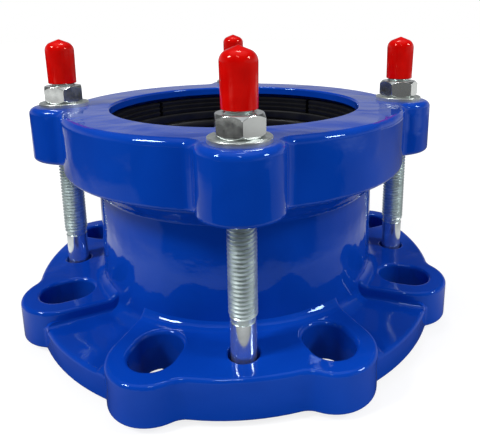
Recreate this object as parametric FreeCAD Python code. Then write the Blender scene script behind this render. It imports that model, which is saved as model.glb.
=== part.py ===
import FreeCAD, Part
import math
import os

# Restrained flanged adaptor for plain pipe, size 100.
# The flange stands on its mating face, and the pipe enters from above.
# Origin: centre of the mating face. +Z runs up the pipe axis. Millimetres and degrees.

# Layout. Each stud side has the angle at which its nut was left, from one corner outwards
NUT_TURNS = {"right": -9.4, "back": 17.0, "left": -11.7, "front": 4.6}
STUD_COUNT = len(NUT_TURNS)
SLOTS_PER_STUD = 2
GRIP_COUNT = 8
HEX_SIDES = 6

# Barrel and bell of the body casting
BODY_BORE_R = 67.0
BARREL_WALL = 6.6
BARREL_DRAFT = 1.0
BARREL_BLEND_R = 6.0
STOP_Z = 36.0
STOP_TAPER = 14.0
MOUTH_Z = 80.5
MOUTH_EDGE = 1.0
SEAT_DEPTH = 15.0
SEAT_FLARE = 8.5
BELL_WALL = 4.5
BELL_HEIGHT = 11.0
FLARE_HEIGHT = 6.5
FLARE_BLEND_R = 2.5

# Flange of the body casting
FLANGE_BORE_R = 52.5
FACE_RAISE = 3.0
FACE_LEDGE = 4.4
PAD_THICKNESS = 18.5
PANEL_SINK = 6.5
SLOT_WIDTH = 19.5
SLOT_LENGTH = 25.0
SLOT_INSET = 1.7
LOBE_INSET = 0.6
LOBE_WALL = 9.25
LOBE_PROUD = 7.85
LOBE_BLEND_R = 10.0
LAND_MARGIN = 6.0
PANEL_CORNER_R = 3.0
PANEL_FOOT_R = 2.0
PAD_EDGE_R = 1.8
UNDER_EDGE_R = 1.2
SLOT_EDGE_R = 1.8
HOLE_EDGE_R = 1.0

# End ring casting
SKIRT_OVERLAP = 0.7
SKIRT_CLEARANCE = 1.5
SKIRT_WALL = 8.0
UNDERSIDE_ANGLE = 4.0
RING_DEPTH = 29.4
RING_EDGE_R = 3.2
RING_FOOT_R = 2.0
RIM_STEP = 1.0
RIM_THICKNESS = 4.5
RIM_LIP_R = 1.2
RIM_LEDGE = 3.9
CONE_ANGLE = 40.0
LUG_HOLE_CLEARANCE = 1.7
LUG_HOLE_INSET = 2.75
LUG_WALL = 10.6
LUG_BLEND_R = 6.5

# Grip segments
GRIP_HEIGHT = 8.5
GRIP_HEAD_ROOM = 2.6
GRIP_TIP_INSET = 0.2
GRIP_TOOTH_DEPTH = 1.0
GRIP_TOOTH_COUNT = 3
GRIP_TOOTH_RISE = 0.75
GRIP_TOOTH_FALL = 0.1
GRIP_SPACE = 2.2
CONE_CLEARANCE = 0.35

# Gasket
GASKET_RIB_INSET = 0.1
GASKET_GROOVE_DEPTH = 1.5
GASKET_GROOVE_WIDTH = 1.4
GASKET_RIB_COUNT = 5
GASKET_NOSE = 1.0
SEAT_CLEARANCE = 0.25
STACK_CLEARANCE = 0.3

# Fasteners
THREAD_D = 11.8
THREAD_LENGTH = 104.5
SHANK_RELIEF = 1.1
BOLT_LENGTH = 130.0
BOLT_END_EDGE = 1.2
HEX_CHAMFER_ANGLE = 30.0
HEAD_AF = 18.0
HEAD_HEIGHT = 7.5
HEAD_SINK = 0.5
BODY_HOLE_CLEARANCE = 1.2
POCKET_CLEARANCE = 0.4
WASHER_D = 24.5
WASHER_HOLE_CLEARANCE = 1.2
WASHER_THICKNESS = 2.0
WASHER_EDGE_R = 0.5
NUT_AF = 18.0
NUT_HEIGHT = 8.6
NUT_CLEARANCE = 0.05
NUT_BORE_EDGE = 0.6

# Protective caps on the bolt ends
CAP_WALL = 1.1
CAP_TAPER = 0.2
CAP_CLEARANCE = 0.1
CAP_NUT_SPACE = 1.3
CAP_CROWN = 2.75
CAP_SHOULDER_R = 3.3
CAP_CONE_RISE = 2.8

# Body casting, worked out
BARREL_TOP_R = BODY_BORE_R + BARREL_WALL
BARREL_FOOT_R = BARREL_TOP_R + BARREL_DRAFT
SEAT_BOTTOM_Z = MOUTH_Z - SEAT_DEPTH
SEAT_MOUTH_R = BODY_BORE_R + SEAT_FLARE
BELL_R = SEAT_MOUTH_R + BELL_WALL
BELL_BOTTOM_Z = MOUTH_Z - BELL_HEIGHT
FACE_R = BARREL_FOOT_R + FACE_LEDGE
PAD_TOP_Z = FACE_RAISE + PAD_THICKNESS
PANEL_TOP_Z = PAD_TOP_Z - PANEL_SINK
LAND_R = BARREL_FOOT_R + BARREL_BLEND_R + LAND_MARGIN
SLOT_COUNT = SLOTS_PER_STUD * STUD_COUNT
SLOT_CIRCLE_R = FACE_R + SLOT_INSET + SLOT_LENGTH / 2
LOBE_R = SLOT_WIDTH / 2 + LOBE_WALL
LOBE_CIRCLE_R = SLOT_CIRCLE_R + (SLOT_LENGTH - SLOT_WIDTH) / 2 - LOBE_INSET
LOBE_TURN = 180.0 / SLOT_COUNT
FLANGE_R = LOBE_CIRCLE_R + LOBE_R - LOBE_PROUD

# End ring and what it holds, worked out
SKIRT_BORE_R = BELL_R + SKIRT_CLEARANCE
RING_R = SKIRT_BORE_R + SKIRT_WALL
RING_BOTTOM_Z = MOUTH_Z - SKIRT_OVERLAP
RING_TOP_Z = RING_BOTTOM_Z + RING_DEPTH
LUG_HOLE_R = (THREAD_D + LUG_HOLE_CLEARANCE) / 2
LUG_R = LUG_HOLE_R + LUG_WALL
STUD_CIRCLE_R = SKIRT_BORE_R + LUG_HOLE_INSET + LUG_HOLE_R
STUD_STEP = 360.0 / STUD_COUNT
LUG_TIP_R = STUD_CIRCLE_R + LUG_R
UNDERSIDE_SLOPE = math.tan(math.radians(UNDERSIDE_ANGLE))
RIM_BORE_R = BODY_BORE_R - RIM_STEP
RIM_BOTTOM_Z = RING_TOP_Z - RIM_THICKNESS
CONE_TOP_R = RIM_BORE_R + RIM_LEDGE
CONE_SLOPE = math.tan(math.radians(CONE_ANGLE))
GRIP_TIP_R = RIM_BORE_R + GRIP_TIP_INSET
GRIP_TOP_Z = RIM_BOTTOM_Z - GRIP_HEAD_ROOM
GRIP_BOTTOM_Z = GRIP_TOP_Z - GRIP_HEIGHT
GASKET_RIB_R = RIM_BORE_R + GASKET_RIB_INSET
GASKET_TOP_Z = GRIP_BOTTOM_Z - STACK_CLEARANCE
SEAT_SLOPE = SEAT_FLARE / SEAT_DEPTH

# Fasteners, worked out
BODY_HOLE_R = (THREAD_D + BODY_HOLE_CLEARANCE) / 2
BOLT_SEAT_Z = FACE_RAISE + HEAD_SINK + HEAD_HEIGHT
BOLT_END_Z = BOLT_SEAT_Z + BOLT_LENGTH
WASHER_HOLE_R = (THREAD_D + WASHER_HOLE_CLEARANCE) / 2
WASHER_TOP_Z = RING_TOP_Z + WASHER_THICKNESS
NUT_TOP_Z = WASHER_TOP_Z + NUT_HEIGHT
CAP_BOTTOM_Z = NUT_TOP_Z + CAP_NUT_SPACE
CAP_TOP_Z = BOLT_END_Z + CAP_CLEARANCE + CAP_CROWN

# Overshoot of cutting tools past the face that they leave, the room that an edge's rounding
# needs beside it, and how near an edge has to be to the place where it is looked for
PAST = 5.0
ROUNDING_ROOM = 0.025
NEAR = 0.05
ORIGIN = FreeCAD.Vector(0, 0, 0)
UP = FreeCAD.Vector(0, 0, 1)


def at(r, turn, z):
    """Point at a radius, an angle about the pipe axis and a height."""
    angle = math.radians(turn)
    return FreeCAD.Vector(r * math.cos(angle), r * math.sin(angle), z)


def turned(shape, turn):
    """Copy of a shape, turned about the pipe axis."""
    copy = shape.copy()
    copy.rotate(ORIGIN, UP, turn)
    return copy


def rounded_corner(before, corner, after, radius):
    """Start, middle and end of the arc that rounds one corner of an outline."""
    back = (before - corner).normalize()
    ahead = (after - corner).normalize()
    half = back.getAngle(ahead) / 2
    reach = radius / math.tan(half)
    inward = (back + ahead).normalize()
    middle = corner + inward * (radius / math.sin(half) - radius)
    return corner + back * reach, middle, corner + ahead * reach


def outline(section):
    """Closed wire of radius and height pairs. A third number rounds that corner."""
    corners = [FreeCAD.Vector(item[0], 0, item[1]) for item in section]
    count = len(corners)
    arcs = []
    for k, item in enumerate(section):
        radius = item[2] if len(item) > 2 else 0
        if radius:
            arcs.append(rounded_corner(corners[k - 1], corners[k], corners[(k + 1) % count], radius))
        else:
            arcs.append((corners[k], None, corners[k]))
    edges = []
    for k, (start, middle, end) in enumerate(arcs):
        if middle:
            edges.append(Part.Arc(start, middle, end).toShape())
        following = arcs[(k + 1) % count][0]
        edges.append(Part.makeLine(end, following))
    return Part.Wire(edges)


def revolved(section, sweep=360.0):
    """Solid turned from a closed section of radius and height pairs."""
    return Part.Face(outline(section)).revolve(ORIGIN, UP, sweep)


def column(radius, bottom, top, centre=ORIGIN):
    """Upright cylinder between two heights."""
    base = FreeCAD.Vector(centre.x, centre.y, bottom)
    return Part.makeCylinder(radius, top - bottom, base, UP)


def stadium(length, width, centre_r, bottom, top):
    """Upright slot shape whose long side runs out along +X."""
    half = (length - width) / 2
    box = Part.makeBox(2 * half, width, top - bottom, FreeCAD.Vector(centre_r - half, -width / 2, bottom))
    inner = column(width / 2, bottom, top, FreeCAD.Vector(centre_r - half, 0, 0))
    outer = column(width / 2, bottom, top, FreeCAD.Vector(centre_r + half, 0, 0))
    return box.fuse([inner, outer]).removeSplitter()


def hexagon(across_flats, bottom, top):
    """Upright hexagonal bar on the Z axis, with two flats facing +Y and -Y."""
    corner_r = across_flats / math.sqrt(3)
    points = [at(corner_r, 360.0 * k / HEX_SIDES, bottom) for k in range(HEX_SIDES)]
    face = Part.Face(Part.makePolygon(points + points[:1]))
    return face.extrude(UP * (top - bottom))


def crowned(across_flats, bottom, top, ends):
    """Hexagonal bar whose corners are turned off at the named ends."""
    flat_r = across_flats / 2
    corner_r = across_flats / math.sqrt(3)
    drop = (corner_r - flat_r) * math.tan(math.radians(HEX_CHAMFER_ANGLE))
    low_r = flat_r if "bottom" in ends else corner_r
    high_r = flat_r if "top" in ends else corner_r
    section = [(0, bottom), (low_r, bottom), (corner_r, bottom + drop)]
    section += [(corner_r, top - drop), (high_r, top), (0, top)]
    return hexagon(across_flats, bottom, top).common(revolved(section))


def rings(shape, radius, height):
    """Circular edges about the pipe axis at one radius and height."""
    found = []
    for edge in shape.Edges:
        curve = edge.Curve
        if not isinstance(curve, Part.Circle):
            continue
        centre = curve.Center
        level = abs(centre.z - height) < NEAR
        same = abs(curve.Radius - radius) < NEAR
        if level and same and math.hypot(centre.x, centre.y) < NEAR:
            found.append(edge)
    return found


def level_edges(shape, height, inside, rise=0.0):
    """Edges between a height and a rise above it, and further out than a distance from the axis."""
    found = []
    for edge in shape.Edges:
        box = edge.BoundBox
        middle = edge.valueAt((edge.FirstParameter + edge.LastParameter) / 2)
        level = box.ZMin > height - NEAR and box.ZMax < height + rise + NEAR
        if level and math.hypot(middle.x, middle.y) > inside + NEAR:
            found.append(edge)
    return found


def upright_edges(shape, radius):
    """Straight vertical edges at one distance from the axis."""
    found = []
    for edge in shape.Edges:
        box = edge.BoundBox
        straight = box.XLength < NEAR and box.YLength < NEAR
        place = math.hypot(box.Center.x, box.Center.y)
        if straight and abs(place - radius) < NEAR:
            found.append(edge)
    return found


def body_section():
    """Section of the body casting, with a land about the barrel at the height of the sunk panels."""
    return [
        (FLANGE_BORE_R, 0),
        (FACE_R, 0),
        (FACE_R, FACE_RAISE),
        (LAND_R, FACE_RAISE),
        (LAND_R, PANEL_TOP_Z),
        (BARREL_FOOT_R, PANEL_TOP_Z, BARREL_BLEND_R),
        (BARREL_TOP_R, BELL_BOTTOM_Z, FLARE_BLEND_R),
        (BELL_R, BELL_BOTTOM_Z + FLARE_HEIGHT, FLARE_BLEND_R),
        (BELL_R, MOUTH_Z - MOUTH_EDGE),
        (BELL_R - MOUTH_EDGE, MOUTH_Z),
        (SEAT_MOUTH_R, MOUTH_Z),
        (BODY_BORE_R, SEAT_BOTTOM_Z),
        (BODY_BORE_R, STOP_Z),
        (FLANGE_BORE_R, STOP_Z - STOP_TAPER),
    ]


def lobe(bottom, top):
    """Round-ended bar from the pipe axis out along +X, about one slot."""
    length = LOBE_CIRCLE_R + 2 * LOBE_R
    return stadium(length, 2 * LOBE_R, LOBE_CIRCLE_R / 2, bottom, top)


def base_plate():
    """Lower level of the flange: disc and lobes, with the outer edges that the panels show."""
    plate = column(FLANGE_R, FACE_RAISE, PANEL_TOP_Z)
    bar = lobe(FACE_RAISE, PANEL_TOP_Z)
    lobes = [turned(bar, LOBE_TURN + 2 * LOBE_TURN * k) for k in range(SLOT_COUNT)]
    plate = plate.fuse(lobes).removeSplitter()
    corners = upright_edges(plate, FLANGE_R)
    plate = plate.makeFillet(LOBE_BLEND_R, [edge for edge in corners if faces_stud(edge)])
    plate = plate.makeFillet(PANEL_CORNER_R, upright_edges(plate, FLANGE_R))
    plate = plate.makeFillet(PAD_EDGE_R, level_edges(plate, PANEL_TOP_Z, BARREL_FOOT_R))
    return plate.makeFillet(UNDER_EDGE_R, level_edges(plate, FACE_RAISE, BARREL_FOOT_R))


def faces_stud(edge):
    """Whether an edge of the flange lies nearer to a stud than to the middle of a panel."""
    centre = edge.BoundBox.Center
    turn = math.degrees(math.atan2(centre.y, centre.x)) % STUD_STEP
    return min(turn, STUD_STEP - turn) < LOBE_TURN


def pad():
    """Raised pad about one stud, along +X, with its two lobes and its own blend to the barrel."""
    bottom = (FACE_RAISE + PANEL_TOP_Z) / 2
    top = PAD_TOP_Z + BARREL_BLEND_R
    wedge_points = [ORIGIN, at(2 * FLANGE_R, -LOBE_TURN, 0), at(2 * FLANGE_R, LOBE_TURN, 0)]
    wedge = Part.Face(Part.makePolygon(wedge_points + wedge_points[:1]))
    wedge = wedge.extrude(UP * top)
    sector = column(FLANGE_R, bottom, top).common(wedge)
    lobes = [turned(lobe(bottom, top), -LOBE_TURN), turned(lobe(bottom, top), LOBE_TURN)]
    plan = sector.fuse(lobes).removeSplitter()
    plan = plan.makeFillet(LOBE_BLEND_R, upright_edges(plan, FLANGE_R))
    inner_r = BODY_BORE_R + BARREL_WALL / 2
    under = revolved([
        (inner_r, bottom),
        (2 * FLANGE_R, bottom),
        (2 * FLANGE_R, PAD_TOP_Z),
        (BARREL_TOP_R, PAD_TOP_Z, BARREL_BLEND_R),
        (BARREL_TOP_R, top + BARREL_BLEND_R),
        (inner_r, top + BARREL_BLEND_R),
    ])
    solid = plan.common(under)
    edges = level_edges(solid, PAD_TOP_Z, BARREL_TOP_R + BARREL_BLEND_R)
    return solid.makeFillet(PAD_EDGE_R, edges)


def pad_foot(side):
    """Concave blend along the foot of one pad side, for the lobe along +X."""
    start = FreeCAD.Vector(BODY_BORE_R, side * LOBE_R, PANEL_TOP_Z)
    out = FreeCAD.Vector(0, side, 0)
    low = start + out * PANEL_FOOT_R
    high = start + UP * PANEL_FOOT_R
    middle = low + UP * PANEL_FOOT_R - (out + UP) * (PANEL_FOOT_R / math.sqrt(2))
    sunk = (out + UP) * -PANEL_FOOT_R
    corners = [low, low - UP * PANEL_FOOT_R, start + sunk, high - out * PANEL_FOOT_R, high]
    edges = [Part.makeLine(a, b) for a, b in zip(corners, corners[1:])]
    edges.append(Part.Arc(high, middle, low).toShape())
    blend = Part.Face(Part.Wire(edges)).extrude(FreeCAD.Vector(FLANGE_R, 0, 0))
    limit = revolved([
        (0, FACE_RAISE),
        (FLANGE_R, FACE_RAISE),
        (FLANGE_R, PANEL_TOP_Z + PANEL_FOOT_R, PAD_EDGE_R + PANEL_FOOT_R),
        (0, PANEL_TOP_Z + PANEL_FOOT_R),
    ])
    return blend.common(limit)


def softened(narrow, wide, radius):
    """Cutter for a hole with a rounded rim: a narrow bar below the pad top and a wider one above."""
    cutter = narrow.fuse(wide)
    rim = [edge for edge in narrow.common(wide).Edges if edge.BoundBox.ZMax < PAD_TOP_Z + NEAR]
    marks = [edge.CenterOfMass for edge in rim]
    found = []
    for edge in cutter.Edges:
        if any(edge.CenterOfMass.distanceToPoint(mark) < NEAR for mark in marks):
            found.append(edge)
    return cutter.makeFillet(radius, found)


def slot():
    """Cutter for one slotted flange hole on +X."""
    grow = 2 * (SLOT_EDGE_R + ROUNDING_ROOM)
    top = PAD_TOP_Z + BARREL_BLEND_R
    narrow = stadium(SLOT_LENGTH, SLOT_WIDTH, SLOT_CIRCLE_R, -PAST, top)
    wide = stadium(SLOT_LENGTH + grow, SLOT_WIDTH + grow, SLOT_CIRCLE_R, PAD_TOP_Z, top)
    return softened(narrow, wide, SLOT_EDGE_R)


def bolt_pocket():
    """Cutter for one bolt hole on +X and the hexagonal pocket that holds the bolt head."""
    centre = at(STUD_CIRCLE_R, 0, 0)
    top = PAD_TOP_Z + BARREL_BLEND_R
    narrow = column(BODY_HOLE_R, -PAST, top, centre)
    wide = column(BODY_HOLE_R + HOLE_EDGE_R + ROUNDING_ROOM, PAD_TOP_Z, top, centre)
    pocket = hexagon(HEAD_AF + 2 * POCKET_CLEARANCE, -PAST, BOLT_SEAT_Z)
    pocket.translate(centre)
    return softened(narrow, wide, HOLE_EDGE_R).fuse(pocket)


def flange_body():
    """The body casting: flange with pads, lobes and panels, barrel and bell."""
    core = column(BODY_BORE_R, -PAST, PAD_TOP_Z + PAST)
    plate = base_plate().cut(core)
    one_pad = pad()
    pads = [turned(one_pad, STUD_STEP * k) for k in range(STUD_COUNT)]
    feet = [turned(pad_foot(side), side * LOBE_TURN) for side in (-1, 1)]
    feet = [turned(foot, STUD_STEP * k) for foot in feet for k in range(STUD_COUNT)]
    body = revolved(body_section()).fuse([plate] + pads + feet).removeSplitter()
    slots = [turned(slot(), LOBE_TURN + 2 * LOBE_TURN * k) for k in range(SLOT_COUNT)]
    pockets = [turned(bolt_pocket(), STUD_STEP * k) for k in range(STUD_COUNT)]
    return body.cut(slots + pockets)


def end_ring():
    """The end ring casting: rim, conical cavity, skirt and four bolt lugs."""
    body = column(RING_R, RING_BOTTOM_Z, RING_TOP_Z)
    lug = column(LUG_R, RING_BOTTOM_Z, RING_TOP_Z, at(STUD_CIRCLE_R, 0, 0))
    body = body.fuse([turned(lug, STUD_STEP * k) for k in range(STUD_COUNT)]).removeSplitter()
    body = body.makeFillet(LUG_BLEND_R, upright_edges(body, RING_R))
    body = body.makeFillet(RING_EDGE_R, level_edges(body, RING_TOP_Z, RIM_BORE_R))
    reach = LUG_TIP_R + PAST
    rise = (reach - SKIRT_BORE_R) * UNDERSIDE_SLOPE
    under = revolved([
        (0, RING_BOTTOM_Z - PAST),
        (reach, RING_BOTTOM_Z - PAST),
        (reach, RING_BOTTOM_Z + rise),
        (SKIRT_BORE_R, RING_BOTTOM_Z),
        (0, RING_BOTTOM_Z),
    ])
    body = body.cut(under)
    body = body.makeFillet(RING_FOOT_R, level_edges(body, RING_BOTTOM_Z, SKIRT_BORE_R, rise))
    cone_bottom_z = RIM_BOTTOM_Z - (SKIRT_BORE_R - CONE_TOP_R) / CONE_SLOPE
    cavity = revolved([
        (0, RING_BOTTOM_Z - PAST),
        (SKIRT_BORE_R, RING_BOTTOM_Z - PAST),
        (SKIRT_BORE_R, cone_bottom_z),
        (CONE_TOP_R, RIM_BOTTOM_Z),
        (RIM_BORE_R, RIM_BOTTOM_Z),
        (RIM_BORE_R, RING_TOP_Z, RIM_LIP_R),
        (RIM_BORE_R + PAST, RING_TOP_Z),
        (RIM_BORE_R + PAST, RING_TOP_Z + PAST),
        (0, RING_TOP_Z + PAST),
    ])
    hole = column(LUG_HOLE_R, RING_BOTTOM_Z - PAST, RING_TOP_Z + PAST, at(STUD_CIRCLE_R, 0, 0))
    holes = [turned(hole, STUD_STEP * k) for k in range(STUD_COUNT)]
    return body.cut([cavity] + holes)


def grip():
    """One toothed grip segment, centred on +X, with its back parallel to the ring's cone."""
    back = CONE_CLEARANCE / math.cos(math.radians(CONE_ANGLE))
    top_back_r = CONE_TOP_R + (RIM_BOTTOM_Z - GRIP_TOP_Z) * CONE_SLOPE - back
    bottom_back_r = CONE_TOP_R + (RIM_BOTTOM_Z - GRIP_BOTTOM_Z) * CONE_SLOPE - back
    pitch = GRIP_HEIGHT / GRIP_TOOTH_COUNT
    section = [(top_back_r, GRIP_TOP_Z), (bottom_back_r, GRIP_BOTTOM_Z)]
    for k in range(GRIP_TOOTH_COUNT):
        foot = GRIP_BOTTOM_Z + pitch * k
        section.append((GRIP_TIP_R + GRIP_TOOTH_DEPTH, foot))
        section.append((GRIP_TIP_R, foot + pitch * GRIP_TOOTH_RISE))
        section.append((GRIP_TIP_R, foot + pitch * (1 - GRIP_TOOTH_FALL)))
    section.append((GRIP_TIP_R + GRIP_TOOTH_DEPTH, GRIP_TOP_Z))
    sweep = 360.0 / GRIP_COUNT - math.degrees(GRIP_SPACE / GRIP_TIP_R)
    return turned(revolved(section, sweep), -sweep / 2)


def gasket():
    """The moulded ring gasket: conical nose in the bell, upright head and ribbed bore."""
    radial = SEAT_CLEARANCE * math.sqrt(1 + SEAT_SLOPE ** 2)
    nose_r = BODY_BORE_R - radial
    head_r = SEAT_MOUTH_R - radial
    bottom = SEAT_BOTTOM_Z
    section = [
        (GASKET_RIB_R, bottom),
        (nose_r, bottom),
        (head_r, MOUTH_Z),
        (head_r, GASKET_TOP_Z - GASKET_NOSE),
        (head_r - GASKET_NOSE, GASKET_TOP_Z),
        (GASKET_RIB_R, GASKET_TOP_Z),
    ]
    body = revolved(section)
    pitch = (GASKET_TOP_Z - bottom) / GASKET_RIB_COUNT
    grooves = []
    for k in range(1, GASKET_RIB_COUNT):
        middle = bottom + pitch * k
        half = GASKET_GROOVE_WIDTH / 2
        grooves.append(revolved([
            (GASKET_RIB_R - PAST, middle - half),
            (GASKET_RIB_R, middle - half),
            (GASKET_RIB_R + GASKET_GROOVE_DEPTH, middle),
            (GASKET_RIB_R, middle + half),
            (GASKET_RIB_R - PAST, middle + half),
        ]))
    return body.cut(grooves)


def bolt():
    """One bolt on the Z axis: captive hexagonal head, plain shank and threaded length."""
    head = crowned(HEAD_AF, BOLT_SEAT_Z - HEAD_HEIGHT, BOLT_SEAT_Z, ["bottom"])
    thread_z = BOLT_END_Z - THREAD_LENGTH
    thread_r = THREAD_D / 2
    step = SHANK_RELIEF / 2
    stem = revolved([
        (0, BOLT_SEAT_Z - HEAD_HEIGHT / 2),
        (thread_r - step, BOLT_SEAT_Z - HEAD_HEIGHT / 2),
        (thread_r - step, thread_z - step),
        (thread_r, thread_z),
        (thread_r, BOLT_END_Z - BOLT_END_EDGE),
        (thread_r - BOLT_END_EDGE, BOLT_END_Z),
        (0, BOLT_END_Z),
    ])
    return head.fuse(stem).removeSplitter()


def washer():
    """One flat washer on the Z axis, on top of the end ring."""
    return revolved([
        (WASHER_HOLE_R, RING_TOP_Z),
        (WASHER_D / 2, RING_TOP_Z),
        (WASHER_D / 2, WASHER_TOP_Z, WASHER_EDGE_R),
        (WASHER_HOLE_R, WASHER_TOP_Z),
    ])


def nut():
    """One hexagon nut on the Z axis, on top of its washer."""
    block = crowned(NUT_AF, WASHER_TOP_Z, NUT_TOP_Z, ["bottom", "top"])
    bore_r = THREAD_D / 2 + NUT_CLEARANCE
    block = block.cut(column(bore_r, WASHER_TOP_Z - PAST, NUT_TOP_Z + PAST))
    return block.makeChamfer(NUT_BORE_EDGE, rings(block, bore_r, NUT_TOP_Z))


def cap():
    """One dipped cap on the Z axis, over the end of its bolt."""
    bore_r = THREAD_D / 2 + CAP_CLEARANCE
    outer_r = bore_r + CAP_WALL
    roof_z = BOLT_END_Z + CAP_CLEARANCE
    shoulder_z = CAP_TOP_Z - CAP_CONE_RISE
    body = revolved([
        (0, CAP_BOTTOM_Z),
        (outer_r - CAP_TAPER, CAP_BOTTOM_Z),
        (outer_r, shoulder_z, CAP_SHOULDER_R),
        (0, CAP_TOP_Z),
    ])
    room = revolved([
        (0, CAP_BOTTOM_Z - PAST),
        (bore_r, CAP_BOTTOM_Z - PAST),
        (bore_r, BOLT_END_Z - BOLT_END_EDGE),
        (bore_r - BOLT_END_EDGE, roof_z),
        (0, roof_z),
    ])
    return body.cut(room)


def write(name, shape):
    """Write one piece to its own file."""
    shape.exportStep("parts/" + name + ".step")


def main():
    os.makedirs("parts", exist_ok=True)
    write("flange_body", flange_body())
    write("end_ring", end_ring())
    write("gasket", gasket())
    one_grip = grip()
    for k in range(GRIP_COUNT):
        write("grip_" + str(k + 1), turned(one_grip, (k + 0.5) * 360.0 / GRIP_COUNT))
    fasteners = {"bolt": bolt(), "washer": washer(), "nut": nut(), "cap": cap()}
    for k, side in enumerate(NUT_TURNS):
        for name, shape in fasteners.items():
            piece = turned(shape, NUT_TURNS[side] if name == "nut" else 0)
            piece.translate(at(STUD_CIRCLE_R, 0, 0))
            write(name + "_" + side, turned(piece, STUD_STEP * k))


main()
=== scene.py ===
"""Restrained flanged adaptor: glossy blue castings, zinc-plated fasteners, red caps and
black rubber, on a white sheet. Metres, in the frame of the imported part."""

import math
from collections import namedtuple

import bmesh
import bpy
from mathutils import Matrix, Vector


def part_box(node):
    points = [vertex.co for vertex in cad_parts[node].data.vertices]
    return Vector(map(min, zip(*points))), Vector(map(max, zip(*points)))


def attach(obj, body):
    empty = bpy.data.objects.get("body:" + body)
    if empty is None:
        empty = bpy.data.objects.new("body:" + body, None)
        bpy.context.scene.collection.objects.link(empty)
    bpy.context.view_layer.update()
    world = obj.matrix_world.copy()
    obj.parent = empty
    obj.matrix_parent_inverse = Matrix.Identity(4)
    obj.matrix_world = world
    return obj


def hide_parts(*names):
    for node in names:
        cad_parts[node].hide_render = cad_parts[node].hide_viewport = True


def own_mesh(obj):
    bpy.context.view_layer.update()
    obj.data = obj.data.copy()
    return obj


MM = 0.001
ORIGIN = (0, 0, 0)
WHITE = (1, 1, 1, 1)

# Level that changes while a value goes from a start to a stop
Span = namedtuple("Span", "start stop before after")

# Points closer than this are one point
SAME_PLACE = 0.0001 * MM

# Edges that turn more than this stay sharp
SHARP_ANGLE = math.radians(35)

# Steps in a rounded stretch of a section
ARC_STEPS = 12

# Bolts of the fitting, counter-clockwise from +X, and its grips
SIDES = ["right", "back", "left", "front"]
BOLT_CIRCLE_R = 91.0 * MM
GRIP_COUNT = 8

# Bolt, below its thread
HEAD_FLAT_R = 9.0 * MM
HEAD_HEIGHT = 7.5 * MM
HEAD_CHAMFER = math.radians(30)
CHAMFER_STEPS = 4
SHANK_R = 5.35 * MM
SHANK_EDGE = 0.1 * MM
BOLT_STEPS = 72

# Thread. Its ridge reaches a little into the bolt's core. The ridge's heights, in pitches,
# are those of its lower foot, of both edges of its crest and of its upper foot. It takes
# the run-out, in turns, to rise at one end, and again to sink at the other.
THREAD_LOW_Z = 36.5 * MM
THREAD_PITCH = 1.75 * MM
THREAD_MAJOR_R = 5.9 * MM
THREAD_MINOR_R = 4.95 * MM
THREAD_OVERLAP = 0.15 * MM
THREAD_HEIGHTS = (0.02, 0.44, 0.58, 1.0)
THREAD_RUN_OUT = 1.2
THREAD_STEPS = 36

# Nuts, and the angle at which each was left, in degrees from a corner that points outwards
NUT_TURNS = {"right": -9.4, "back": 17.0, "left": -11.7, "front": 4.6}
NUT_FLAT_R = 9.0 * MM
NUT_FACE_R = 8.85 * MM
NUT_CHAMFER = math.radians(45)
NUT_BORE_R = 5.95 * MM
NUT_BORE_EDGE = 0.6 * MM
NUT_EDGE_R = 0.22 * MM
NUT_EDGE_SEGMENTS = 2
NUT_SHARP_ANGLE = math.radians(25)
NUT_STEPS = 144

# Caps. The roof is the inside's flat top, and its edge is the slope down to the bore.
CAP_R = 7.1 * MM
CAP_FOOT_R = 6.9 * MM
CAP_FOOT_EDGE = 0.3 * MM
CAP_BORE_R = 6.0 * MM
CAP_ROOF_R = 4.9 * MM
CAP_TOP_WALL = 2.75 * MM
CAP_ROOF_EDGE = 1.2 * MM
CAP_CONE_RISE = 2.8 * MM
CAP_SHOULDER_R = 4.5 * MM
CAP_PEAK_R = 1.1 * MM
CAP_STEPS = 96

# Gasket. The shares are how much of its full depth a groove has, from its top to its bottom.
GASKET_BORE_R = 66.1 * MM
GASKET_LIP = 0.6 * MM
GASKET_CONE_TOP_Z = 80.5 * MM
GASKET_EDGE = 1.0 * MM
GASKET_RIBS = 5
GASKET_STEPS = 192
GROOVE_DEPTH = 1.5 * MM
GROOVE_HEIGHT = 2.4 * MM
GROOVE_SHARES = (0, 0.15, 0.8, 1, 0.8, 0.15, 0)

# Usual range of a noise texture's values
NOISE_LOW = 0.3
NOISE_HIGH = 0.7

# Blue coating: two tones, the colour of its shine, its roughness and the depths of its relief
PAINT_DEEP = (0.0015, 0.048, 0.410)
PAINT_PALE = (0.0025, 0.060, 0.480)
PAINT_SHINE = (0.45, 0.68, 1.0, 1.0)
PAINT_ROUGHNESS = (0.04, 0.07)
PAINT_WAVES = 1.3 * MM
PAINT_RIPPLES = 0.11 * MM
PAINT_PEEL = 0.006 * MM

# Zinc plate: how dark its clouds are against its tint, and the depths of its relief
ZINC_CLOUD = 0.82
ZINC_CLOUD_RELIEF = 0.004 * MM
ZINC_GRAIN = 0.001 * MM

# Red plastic
RED_DEEP = (0.66, 0.0012, 0.0006)
RED_PALE = (0.76, 0.0025, 0.0012)
RED_SHINE = (1.0, 0.40, 0.32, 1.0)
RED_ROUGHNESS = 0.12
RED_WAVES = 0.10 * MM

# Black rubber, and the coated iron of the grips
RUBBER_DEEP = (0.006, 0.006, 0.007)
RUBBER_PALE = (0.013, 0.013, 0.014)
RUBBER_ROUGHNESS = (0.38, 0.55)
RUBBER_GRAIN = 0.02 * MM
IRON_DEEP = (0.006, 0.006, 0.007)
IRON_PALE = (0.012, 0.012, 0.013)
IRON_ROUGHNESS = 0.50
IRON_GRAIN = 0.03 * MM

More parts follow.
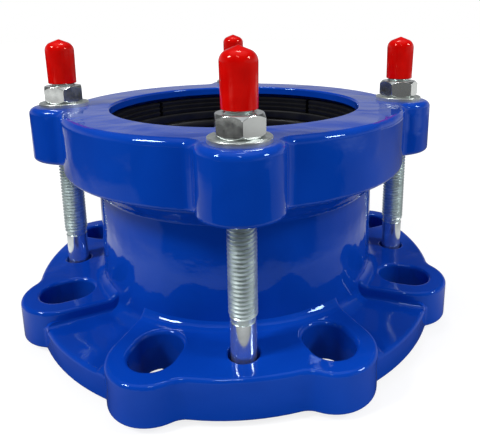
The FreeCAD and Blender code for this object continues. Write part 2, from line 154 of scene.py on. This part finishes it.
# Camera, found from the photograph. Angles in radians, its centre and focal length in pixels.
IMAGE_WIDTH = 480
IMAGE_HEIGHT = 445
CAMERA_PLACE = Vector((-3.4, -263.4, 150.6)) * MM
LOOK_RIGHT = 0.0845
LOOK_DOWN = 0.2124
LOOK_ROLL = -0.0051
FOCAL_PIXELS = 484.6
CENTRE_PIXEL_X = 270.5
CENTRE_PIXEL_Y = 129.1
SENSOR_WIDTH = 36.0
CLIP_START = 10 * MM

# Point that the lamps face
LAMP_AIM = Vector((0, 0, 0.08))

# Level of the even light that comes from all around
AMBIENT = 0.36

# Room seen in reflections: levels by the direction's part along Y, X and Z
ROOM_TINT = (0.93, 0.95, 1.0, 1)
ROOM_BEHIND = Span(start=-0.5, stop=0.3, before=0.03, after=0.42)
ROOM_BESIDE = Span(start=0.35, stop=0.80, before=0.0, after=0.60)
ROOM_WALL_TOP = Span(start=0.15, stop=0.42, before=1.0, after=0.16)
ROOM_CEILING = Span(start=0.75, stop=0.95, before=0.0, after=0.65)

# Floor: what the camera sees of it, how much of the lamps' light it returns, and the even
# light that it gives the object, which is painted bounce light: brighter near the object,
# with painted shade right under it. Its levels go by the distance from the axis.
FLOOR_HALF_SIDE = 4.0
FLOOR_WHITE = Span(start=0.20, stop=0.80, before=0.82, after=1.10)
FLOOR_SHADE = 0.25
# Painted shade: the floor's glow for the object is nearly dark right under it
FLOOR_PAINTED_SHADE_UNDER = Span(start=0.100, stop=0.118, before=0.02, after=1.0)
FLOOR_AMBIENT = Span(start=0.15, stop=0.30, before=0.80, after=AMBIENT)

# Sheet that the floor is in reflections, a painted reflection in its glow for glossy rays,
# with a painted shadow near the object's foot: levels by the distance from the axis, by X
# and by Y. Its front limit holds only before the line, which slopes forward on both sides.
SHEET_ROUND = Span(start=0.14, stop=0.20, before=1.00, after=0.38)
# Painted shadow of the object near its foot on the sheet
SHEET_SHADOW = Span(start=0.110, stop=0.160, before=0.05, after=1.0)
SHEET_FRONT_LIMIT = Span(start=0.180, stop=0.190, before=1.0, after=0.0)
SHEET_LEFT_LIMIT = Span(start=-0.40, stop=-0.28, before=0.08, after=1.0)
SHEET_RIGHT = Span(start=-0.10, stop=0.05, before=1.0, after=0.75)
SHEET_FRONT = Span(start=-0.20, stop=0.00, before=0.65, after=1.0)
SHEET_BACK = Span(start=0.05, stop=0.20, before=1.0, after=0.45)
SHEET_FAR_FRONT = Span(start=-0.75, stop=-0.55, before=0.16, after=0.0)
SHEET_LINE = Span(start=-0.080, stop=-0.060, before=0.0, after=1.0)
SHEET_LINE_SLOPE = 0.4

# Share of a light patch's reach within which it is at its full level
PATCH_CORE = 1 / 3

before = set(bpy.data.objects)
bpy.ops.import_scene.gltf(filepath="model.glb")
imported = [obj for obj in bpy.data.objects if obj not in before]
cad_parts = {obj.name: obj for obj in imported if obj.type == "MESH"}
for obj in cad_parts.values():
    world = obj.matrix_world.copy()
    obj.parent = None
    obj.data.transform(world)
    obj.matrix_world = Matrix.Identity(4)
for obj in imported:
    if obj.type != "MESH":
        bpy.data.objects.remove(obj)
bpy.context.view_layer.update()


def link(obj):
    """Put a new object into the scene."""
    bpy.context.scene.collection.objects.link(obj)
    return obj


def mesh_object(name, shape, place=Matrix(), smooth=True):
    """New object from a shape's points and faces. Points in the same place become one."""
    points, faces = shape
    mesh = bpy.data.meshes.new(name)
    mesh.from_pydata([place @ Vector(point) for point in points], [], faces)
    mesh.validate()
    tidy = bmesh.new()
    tidy.from_mesh(mesh)
    bmesh.ops.remove_doubles(tidy, verts=tidy.verts, dist=SAME_PLACE)
    bmesh.ops.recalc_face_normals(tidy, faces=tidy.faces)
    tidy.to_mesh(mesh)
    tidy.free()
    mesh.polygons.foreach_set("use_smooth", [smooth] * len(mesh.polygons))
    return link(bpy.data.objects.new(name, mesh))


def around(section, turn):
    """Points of a section of radius and height pairs, turned about the Z axis."""
    return [(r * math.cos(turn), r * math.sin(turn), z) for r, z in section]


def skin(rows, loop, closed):
    """Shape through rows of points. It may join the last row to the first, and the last
    point of each row to its first."""
    count = len(rows[0])
    points = [point for row in rows for point in row]
    faces = []
    for step in range(len(rows) if loop else len(rows) - 1):
        here = step * count
        there = (step + 1) % len(rows) * count
        for k in range(count if closed else count - 1):
            following = (k + 1) % count
            faces.append((here + k, there + k, there + following, here + following))
    return points, faces


def lathe(section_at, steps, closed=True):
    """Turned shape, whose section may change with the angle. An open section starts and ends
    on the axis."""
    turns = [2 * math.pi * step / steps for step in range(steps)]
    return skin([around(section_at(turn), turn) for turn in turns], loop=True, closed=closed)


def arc(centre_r, centre_z, radius, start, end):
    """Rounded stretch of a section, between two angles above the outward direction."""
    turns = [start + (end - start) * step / ARC_STEPS for step in range(ARC_STEPS + 1)]
    return [(centre_r + radius * math.cos(turn), centre_z + radius * math.sin(turn)) for turn in turns]


def joined(first, second):
    """Two shapes as one."""
    points, faces = first
    more_points, more_faces = second
    start = len(points)
    return points + more_points, faces + [tuple(start + k for k in face) for face in more_faces]


def hexagon_r(flat_r, turn):
    """Distance from a hexagon's centre to its edge. One of its corners is at angle 0."""
    sixth = math.pi / 3
    return flat_r / math.cos(turn % sixth - sixth / 2)


def on_bolt_circle(side, spin=0.0):
    """Place of the bolt on one side, facing outwards and then spun about its own axis."""
    turn = math.pi / 2 * SIDES.index(side)
    centre = Vector((BOLT_CIRCLE_R * math.cos(turn), BOLT_CIRCLE_R * math.sin(turn), 0))
    return Matrix.Translation(centre) @ Matrix.Rotation(turn + spin, 4, "Z")


class Shader:
    """Builds the nodes of one material or of the world."""

    def __init__(self, owner, output):
        """Leave nothing but the output node."""
        owner.use_nodes = True
        self.owner = owner
        self.tree = owner.node_tree
        self.tree.nodes.clear()
        self.output = self.add(output)

    def feed(self, socket, value):
        """Give an input a plain value or a node's output."""
        if isinstance(value, bpy.types.NodeSocket):
            self.tree.links.new(value, socket)
        else:
            socket.default_value = value

    def add(self, kind, inputs=None, **settings):
        """New node with its inputs, by name or number, and its settings."""
        node = self.tree.nodes.new(kind)
        for key, value in settings.items():
            setattr(node, key, value)
        for key, value in (inputs or {}).items():
            self.feed(node.inputs[key], value)
        return node

    def show(self, source):
        """Use a node's output as the surface."""
        self.feed(self.output.inputs["Surface"], source)
        return self.owner

    def level(self, value, span, soft=False):
        """Level that a span has for a value."""
        node = self.add("ShaderNodeMapRange", {
            "Value": value,
            "From Min": span.start,
            "From Max": span.stop,
            "To Min": span.before,
            "To Max": span.after,
        }, interpolation_type="SMOOTHSTEP" if soft else "LINEAR")
        return node.outputs["Result"]

    def combine(self, operation, first, *others):
        """Numbers joined one after another by a mathematical operation."""
        for value in others:
            first = self.add("ShaderNodeMath", {0: first, 1: value}, operation=operation).outputs["Value"]
        return first

    def choose(self, switch, off, on):
        """One of two numbers, as a switch says."""
        node = self.add("ShaderNodeMix", {"Factor": switch, "A": off, "B": on}, data_type="FLOAT")
        return node.outputs["Result"]

    def split(self, vector):
        """The three numbers of a vector."""
        outputs = self.add("ShaderNodeSeparateXYZ", {"Vector": vector}).outputs
        return outputs["X"], outputs["Y"], outputs["Z"]

    def distance(self, place, point):
        """Distance of a place from a point."""
        node = self.add("ShaderNodeVectorMath", {0: place, 1: point}, operation="DISTANCE")
        return node.outputs["Value"]

    def patch(self, place, centre, reach, level):
        """Level of a round patch of light that fades out at its reach."""
        fade = Span(start=PATCH_CORE * reach, stop=reach, before=level, after=0.0)
        return self.level(self.distance(place, centre), fade, soft=True)

    def noise(self, scale, detail=2.0, roughness=0.5, distortion=0.0):
        """Noise in the object's own coordinates. Scale is in features per metre."""
        node = self.add("ShaderNodeTexNoise", {
            "Vector": self.add("ShaderNodeTexCoord").outputs["Object"],
            "Scale": scale,
            "Detail": detail,
            "Roughness": roughness,
            "Distortion": distortion,
        })
        return node.outputs["Fac"]

    def spread(self, noise, low, high):
        """Number that goes from low to high as a noise value goes over its usual range."""
        return self.level(noise, Span(start=NOISE_LOW, stop=NOISE_HIGH, before=low, after=high))

    def ramp(self, noise, low, high):
        """Colour that goes from low to high as a noise value goes over its usual range."""
        node = self.add("ShaderNodeValToRGB", {"Fac": noise})
        ends = zip((NOISE_LOW, NOISE_HIGH), (low, high))
        for element, (position, color) in zip(node.color_ramp.elements, ends):
            element.position = position
            element.color = (*color, 1)
        return node.outputs["Color"]

    def bump(self, *heights):
        """Chain of bumps from pairs of noise value and depth in metres."""
        below = {}
        for noise, depth in heights:
            node = self.add("ShaderNodeBump", {"Strength": 1.0, "Distance": depth, "Height": noise, **below})
            below = {"Normal": node.outputs["Normal"]}
        return below["Normal"]

    def surface(self, color, roughness, normal, **others):
        """Principled surface. Names of other inputs have an underscore for each space."""
        inputs = {"Base Color": color, "Roughness": roughness, "Normal": normal}
        inputs.update((key.replace("_", " "), value) for key, value in others.items())
        return self.show(self.add("ShaderNodeBsdfPrincipled", inputs).outputs["BSDF"])


def material_shader(name):
    """Empty node tree of a new material."""
    return Shader(bpy.data.materials.new(name), "ShaderNodeOutputMaterial")


def epoxy_paint():
    """Thick, glossy, slightly wavy blue coating over a casting."""
    shader = material_shader("epoxy_blue")
    waves = shader.noise(scale=38, detail=1.5, roughness=0.45, distortion=0.4)
    ripples = shader.noise(scale=160)
    peel = shader.noise(scale=900, detail=1.0)
    color = shader.ramp(shader.noise(scale=25), PAINT_DEEP, PAINT_PALE)
    roughness = shader.spread(ripples, *PAINT_ROUGHNESS)
    normal = shader.bump((waves, PAINT_WAVES), (ripples, PAINT_RIPPLES), (peel, PAINT_PEEL))
    return shader.surface(color, roughness, normal, IOR=1.52, Specular_Tint=PAINT_SHINE)


def zinc_plate(name, tint, roughness, metallic):
    """Cloudy zinc plate of one tint, between two roughnesses."""
    shader = material_shader(name)
    cloud = shader.noise(scale=260, detail=3.0)
    grain = shader.noise(scale=2200)
    color = shader.ramp(cloud, [ZINC_CLOUD * part for part in tint], tint)
    normal = shader.bump((cloud, ZINC_CLOUD_RELIEF), (grain, ZINC_GRAIN))
    return shader.surface(color, shader.spread(cloud, *roughness), normal, Metallic=metallic)


def red_plastic():
    """Glossy red dipped plastic."""
    shader = material_shader("red_dipped_plastic")
    waves = shader.noise(scale=180, detail=1.0)
    color = shader.ramp(waves, RED_DEEP, RED_PALE)
    normal = shader.bump((waves, RED_WAVES))
    return shader.surface(color, RED_ROUGHNESS, normal, IOR=1.50, Specular_Tint=RED_SHINE)


def black_rubber():
    """Satin moulded rubber."""
    shader = material_shader("black_rubber")
    cloud = shader.noise(scale=90, detail=3.0)
    color = shader.ramp(cloud, RUBBER_DEEP, RUBBER_PALE)
    roughness = shader.spread(cloud, *RUBBER_ROUGHNESS)
    normal = shader.bump((shader.noise(scale=1500), RUBBER_GRAIN))
    return shader.surface(color, roughness, normal, IOR=1.5)


def coated_iron():
    """Dark coating on the grip segments."""
    shader = material_shader("dark_coated_iron")
    color = shader.ramp(shader.noise(scale=200, detail=3.0), IRON_DEEP, IRON_PALE)
    normal = shader.bump((shader.noise(scale=1200, detail=3.0), IRON_GRAIN))
    return shader.surface(color, IRON_ROUGHNESS, normal, IOR=1.5)


def paint(node_name, material):
    """Give a piece of the frame its finish."""
    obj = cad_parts[node_name]
    obj.data.materials.clear()
    obj.data.materials.append(material)


def finish_piece(obj, material, body, node):
    """Give a new piece its finish and its body, and hide the frame piece that it stands for."""
    obj.data.materials.append(material)
    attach(obj, body)
    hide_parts(node)


def bolt_rod(low, high):
    """Shape of a bolt without its ridge: hexagonal head, plain shank and core of the thread."""
    full_reach = hexagon_r(HEAD_FLAT_R, 0) - HEAD_FLAT_R
    shoulder = low + HEAD_HEIGHT

    def section_at(turn):
        edge_r = hexagon_r(HEAD_FLAT_R, turn)
        head = [(0, low)]
        for step in range(CHAMFER_STEPS + 1):
            reach = full_reach * step / CHAMFER_STEPS
            head.append((min(HEAD_FLAT_R + reach, edge_r), low + reach * math.tan(HEAD_CHAMFER)))
        shank = [(edge_r, shoulder), (SHANK_R, shoulder), (SHANK_R, THREAD_LOW_Z)]
        core = [(THREAD_MINOR_R, THREAD_LOW_Z + SHANK_EDGE), (THREAD_MINOR_R, high), (0, high)]
        return head + shank + core

    return lathe(section_at, BOLT_STEPS, closed=False)


def thread_ridge(high):
    """Shape of the helical ridge of the thread."""
    foot_r = THREAD_MINOR_R - THREAD_OVERLAP
    pitches = (high - THREAD_LOW_Z) / THREAD_PITCH
    count = int((pitches - THREAD_HEIGHTS[-1]) * THREAD_STEPS)
    rows = []
    for step in range(count + 1):
        turns = step / THREAD_STEPS
        turns_left = (count - step) / THREAD_STEPS
        share = min(1, turns / THREAD_RUN_OUT, turns_left / THREAD_RUN_OUT)
        crest_r = foot_r + (THREAD_MAJOR_R - foot_r) * share
        heights = [THREAD_LOW_Z + THREAD_PITCH * (turns + height) for height in THREAD_HEIGHTS]
        section = zip((foot_r, crest_r, crest_r, foot_r), heights)
        rows.append(around(section, 2 * math.pi * turns))
    points, faces = skin(rows, loop=False, closed=True)
    start = tuple(range(len(THREAD_HEIGHTS)))
    end = tuple(reversed(range(len(points) - len(THREAD_HEIGHTS), len(points))))
    return points, faces + [start, end]


def build_bolts(shank, thread):
    """Long bolts that stand in the flange. Their thread and their two flat ends have a
    finish of their own."""
    for side in SIDES:
        node = "bolt_" + side
        low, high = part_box(node)
        shape = joined(bolt_rod(low.z, high.z), thread_ridge(high.z))
        bolt = mesh_object("threaded_bolt_" + side, shape, on_bolt_circle(side))
        bolt.data.set_sharp_from_angle(angle=SHARP_ANGLE)
        finish_piece(bolt, shank, "flange_body", node)
        bolt.data.materials.append(thread)
        thread_index = bolt.data.materials.find(thread.name)
        for polygon in bolt.data.polygons:
            if not low.z + SAME_PLACE < polygon.center.z < THREAD_LOW_Z + SHANK_EDGE:
                polygon.material_index = thread_index


def nut_shape(low, high):
    """Shape of a hexagon nut with a chamfer on both faces."""
    mouth_r = NUT_BORE_R + NUT_BORE_EDGE

    def section_at(turn):
        edge_r = hexagon_r(NUT_FLAT_R, turn)
        drop = (edge_r - NUT_FACE_R) * math.tan(NUT_CHAMFER)
        lower = [(mouth_r, low), (NUT_FACE_R, low), (edge_r, low + drop)]
        upper = [(edge_r, high - drop), (NUT_FACE_R, high), (mouth_r, high)]
        bore = [(NUT_BORE_R, high - NUT_BORE_EDGE), (NUT_BORE_R, low + NUT_BORE_EDGE)]
        return lower + upper + bore

    return lathe(section_at, NUT_STEPS)


def build_nuts(material):
    """Hexagon nuts with finely rounded edges."""
    for side in SIDES:
        node = "nut_" + side
        low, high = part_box(node)
        place = on_bolt_circle(side, spin=math.radians(NUT_TURNS[side]))
        nut = mesh_object("hexagon_nut_" + side, nut_shape(low.z, high.z), place)
        nut.data.set_sharp_from_angle(angle=NUT_SHARP_ANGLE)
        edges = nut.modifiers.new("edges", "BEVEL")
        edges.width = NUT_EDGE_R
        edges.segments = NUT_EDGE_SEGMENTS
        edges.angle_limit = NUT_SHARP_ANGLE
        finish_piece(nut, material, node, node)


def cap_shape(low, high):
    """Shape of a dipped cap with a soft shoulder and a low cone on top."""
    slope = math.atan(CAP_CONE_RISE / CAP_R)
    steepest = math.pi / 2 - slope
    roof = high - CAP_TOP_WALL
    shoulder_z = high - CAP_CONE_RISE - CAP_SHOULDER_R * math.tan(steepest / 2)
    peak_z = high - CAP_PEAK_R / math.cos(slope)
    inside = [(0, roof), (CAP_ROOF_R, roof), (CAP_BORE_R, roof - CAP_ROOF_EDGE), (CAP_BORE_R, low)]
    foot = [(CAP_FOOT_R - CAP_FOOT_EDGE, low), (CAP_FOOT_R, low + CAP_FOOT_EDGE)]
    shoulder = arc(CAP_R - CAP_SHOULDER_R, shoulder_z, CAP_SHOULDER_R, 0, steepest)
    peak = arc(0, peak_z, CAP_PEAK_R, steepest, math.pi / 2)
    section = inside + foot + shoulder + peak
    return lathe(lambda turn: section, CAP_STEPS, closed=False)


def build_caps(material):
    """Dipped caps over the ends of the bolts."""
    for side in SIDES:
        node = "cap_" + side
        low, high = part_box(node)
        cap = mesh_object("dipped_cap_" + side, cap_shape(low.z, high.z), on_bolt_circle(side))
        cap.data.set_sharp_from_angle(angle=SHARP_ANGLE)
        finish_piece(cap, material, node, node)


def gasket_shape(low, high, outer_r):
    """Shape of a ring with a cone below, a flat top, and grooves between the ribs of its bore."""
    mouth_r = GASKET_BORE_R + GASKET_LIP
    section = [(mouth_r, low), (outer_r, GASKET_CONE_TOP_Z), (outer_r, high - GASKET_EDGE)]
    section += [(outer_r - GASKET_EDGE, high), (mouth_r, high), (GASKET_BORE_R, high - GASKET_LIP)]
    pitch = (high - low) / GASKET_RIBS
    for k in range(GASKET_RIBS - 1, 0, -1):
        groove_top = low + pitch * k + GROOVE_HEIGHT / 2
        for step, share in enumerate(GROOVE_SHARES):
            z = groove_top - GROOVE_HEIGHT * step / (len(GROOVE_SHARES) - 1)
            section.append((GASKET_BORE_R + GROOVE_DEPTH * share, z))
    section.append((GASKET_BORE_R, low + GASKET_LIP))
    return lathe(lambda turn: section, GASKET_STEPS)


def build_gasket(material):
    """Ribbed rubber ring that moves with the flange body."""
    low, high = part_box("gasket")
    gasket = mesh_object("ribbed_gasket", gasket_shape(low.z, high.z, high.x))
    gasket.data.set_sharp_from_angle(angle=SHARP_ANGLE)
    finish_piece(gasket, material, "flange_body", "gasket")
    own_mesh(gasket)


def build_camera():
    """Camera at the photograph's viewing angle, with the shift of its framing."""
    forward = Vector((
        math.sin(LOOK_RIGHT) * math.cos(LOOK_DOWN),
        math.cos(LOOK_RIGHT) * math.cos(LOOK_DOWN),
        -math.sin(LOOK_DOWN),
    ))
    level = Vector((math.cos(LOOK_RIGHT), -math.sin(LOOK_RIGHT), 0))
    upright = level.cross(forward)
    right = level * math.cos(LOOK_ROLL) + upright * math.sin(LOOK_ROLL)
    up = upright * math.cos(LOOK_ROLL) - level * math.sin(LOOK_ROLL)
    basis = Matrix((right, up, -forward)).transposed().to_4x4()
    basis.translation = CAMERA_PLACE
    data = bpy.data.cameras.new("camera")
    data.sensor_width = SENSOR_WIDTH
    data.lens = SENSOR_WIDTH * FOCAL_PIXELS / IMAGE_WIDTH
    data.shift_x = (IMAGE_WIDTH / 2 - CENTRE_PIXEL_X) / IMAGE_WIDTH
    data.shift_y = (CENTRE_PIXEL_Y - IMAGE_HEIGHT / 2) / IMAGE_WIDTH
    data.clip_start = CLIP_START
    camera = link(bpy.data.objects.new("camera", data))
    camera.matrix_world = basis
    bpy.context.scene.camera = camera


def lamp(name, place, size, power):
    """Square soft light that faces the object."""
    data = bpy.data.lights.new(name, "AREA")
    data.size = size
    data.energy = power
    light = link(bpy.data.objects.new(name, data))
    light.location = place
    light.rotation_euler = (LAMP_AIM - Vector(place)).to_track_quat("-Z", "Y").to_euler()


def build_lights():
    """Two lamps at the sides, one overhead and a weak one in front."""
    lamp("key_left", place=(-0.75, -0.35, 0.85), size=0.20, power=6.8)
    lamp("fill_right", place=(0.85, -0.35, 0.70), size=0.20, power=4.0)
    lamp("top", place=(0.02, 0.22, 1.15), size=0.24, power=2.5)
    lamp("front", place=(-0.10, -0.75, 0.95), size=0.14, power=1.0)


def build_world():
    """White for the camera, even light on the object, and a dim room in its reflections,
    which is paler behind the object, to its right and overhead."""
    world = bpy.data.worlds.new("world")
    bpy.context.scene.world = world
    shader = Shader(world, "ShaderNodeOutputWorld")
    x, y, z = shader.split(shader.add("ShaderNodeTexCoord").outputs["Generated"])
    walls = shader.combine("MAXIMUM", shader.level(y, ROOM_BEHIND), shader.level(x, ROOM_BESIDE))
    walls = shader.combine("MULTIPLY", walls, shader.level(z, ROOM_WALL_TOP))
    room = shader.combine("MAXIMUM", walls, shader.level(z, ROOM_CEILING))
    path = shader.add("ShaderNodeLightPath").outputs
    level = shader.choose(path["Is Glossy Ray"], AMBIENT, room)
    light = shader.add("ShaderNodeBackground", {"Color": ROOM_TINT, "Strength": level})
    backdrop = shader.add("ShaderNodeBackground", {"Color": WHITE})
    either = shader.add("ShaderNodeMixShader", {
        "Fac": path["Is Camera Ray"],
        1: light.outputs["Background"],
        2: backdrop.outputs["Background"],
    })
    shader.show(either.outputs["Shader"])


def sheet_in_reflections(shader, place, r):
    """Level of the floor in reflections: a painted reflection of a sheet of limited size, and
    painted patches of light further out.
    """
    x, y, _ = shader.split(place)
    aside = shader.add("ShaderNodeMath", {0: x}, operation="ABSOLUTE").outputs["Value"]
    slant = shader.combine("ADD", y, shader.combine("MULTIPLY", aside, SHEET_LINE_SLOPE))
    limit = shader.combine("MAXIMUM", shader.level(r, SHEET_FRONT_LIMIT), shader.level(slant, SHEET_LINE))
    sheet = shader.combine(
        "MULTIPLY",
        shader.level(r, SHEET_ROUND, soft=True),
        shader.level(r, SHEET_SHADOW),
        shader.level(x, SHEET_LEFT_LIMIT, soft=True),
        shader.level(x, SHEET_RIGHT),
        shader.level(y, SHEET_FRONT),
        shader.level(y, SHEET_BACK),
        limit,
    )
    # Painted patches of light further out on the floor
    sheet = shader.combine(
        "ADD",
        sheet,
        shader.patch(place, centre=(-0.72, -0.70, 0), reach=0.32, level=1.3),
        shader.patch(place, centre=(0.62, -0.30, 0), reach=0.26, level=0.6),
        shader.patch(place, centre=(0.92, 0.52, 0), reach=0.48, level=0.7),
        shader.patch(place, centre=(-0.34, 0.34, 0), reach=0.20, level=0.6),
    )
    return shader.combine("MAXIMUM", sheet, shader.level(y, SHEET_FAR_FRONT))


def floor_white():
    """White of the floor. It shows the camera a shadow, and gives off light of its own: painted
    bounce light with painted shade under the object, and a painted reflection of a lit sheet.
    """
    shader = material_shader("floor_white")
    path = shader.add("ShaderNodeLightPath").outputs
    place = shader.add("ShaderNodeNewGeometry").outputs["Position"]
    r = shader.distance(place, ORIGIN)
    # Painted bounce light from the floor, with painted shade under the object
    ambient = shader.combine(
        "MULTIPLY", shader.level(r, FLOOR_PAINTED_SHADE_UNDER), shader.level(r, FLOOR_AMBIENT, soft=True))
    on_object = shader.choose(path["Is Glossy Ray"], ambient, sheet_in_reflections(shader, place, r))
    level = shader.choose(path["Is Camera Ray"], on_object, shader.level(r, FLOOR_WHITE))
    glow = shader.add("ShaderNodeEmission", {"Strength": level})
    shade = shader.combine("MULTIPLY", path["Is Camera Ray"], FLOOR_SHADE)
    diffuse = shader.add("ShaderNodeBsdfDiffuse", {"Color": shade})
    both = shader.add("ShaderNodeAddShader", {0: diffuse.outputs["BSDF"], 1: glow.outputs["Emission"]})
    return shader.show(both.outputs["Shader"])


def build_floor():
    """Wide white floor under the object."""
    half = FLOOR_HALF_SIDE
    corners = [(-half, -half, 0), (half, -half, 0), (half, half, 0), (-half, half, 0)]
    floor = mesh_object("floor", (corners, [(0, 1, 2, 3)]), smooth=False)
    floor.data.materials.append(floor_white())


def main():
    """Finish every piece of the fitting, then set it on the floor in front of the camera."""
    bpy.context.scene.view_settings.view_transform = "Standard"
    blue = epoxy_paint()
    zinc = zinc_plate("zinc_plate", tint=(0.78, 0.81, 0.79), roughness=(0.12, 0.20), metallic=0.95)
    shank = zinc_plate("zinc_plate_shank", tint=(0.93, 0.99, 1.0), roughness=(0.12, 0.20), metallic=0.92)
    # The thread's tint leans to blue-green: partly the zinc's own tone, partly painted reflection of the
    # blue casting
    thread = zinc_plate("zinc_plate_thread", tint=(0.87, 1.0, 0.98), roughness=(0.28, 0.38), metallic=0.86)
    washer = zinc_plate("zinc_plate_washer", tint=(0.72, 0.77, 0.74), roughness=(0.28, 0.36), metallic=0.85)
    iron = coated_iron()
    paint("flange_body", blue)
    paint("end_ring", blue)
    build_bolts(shank, thread)
    build_nuts(zinc)
    build_gasket(black_rubber())
    for number in range(1, GRIP_COUNT + 1):
        paint("grip_" + str(number), iron)
    build_caps(red_plastic())
    for side in SIDES:
        paint("washer_" + side, washer)
    build_floor()
    build_world()
    build_lights()
    build_camera()


main()
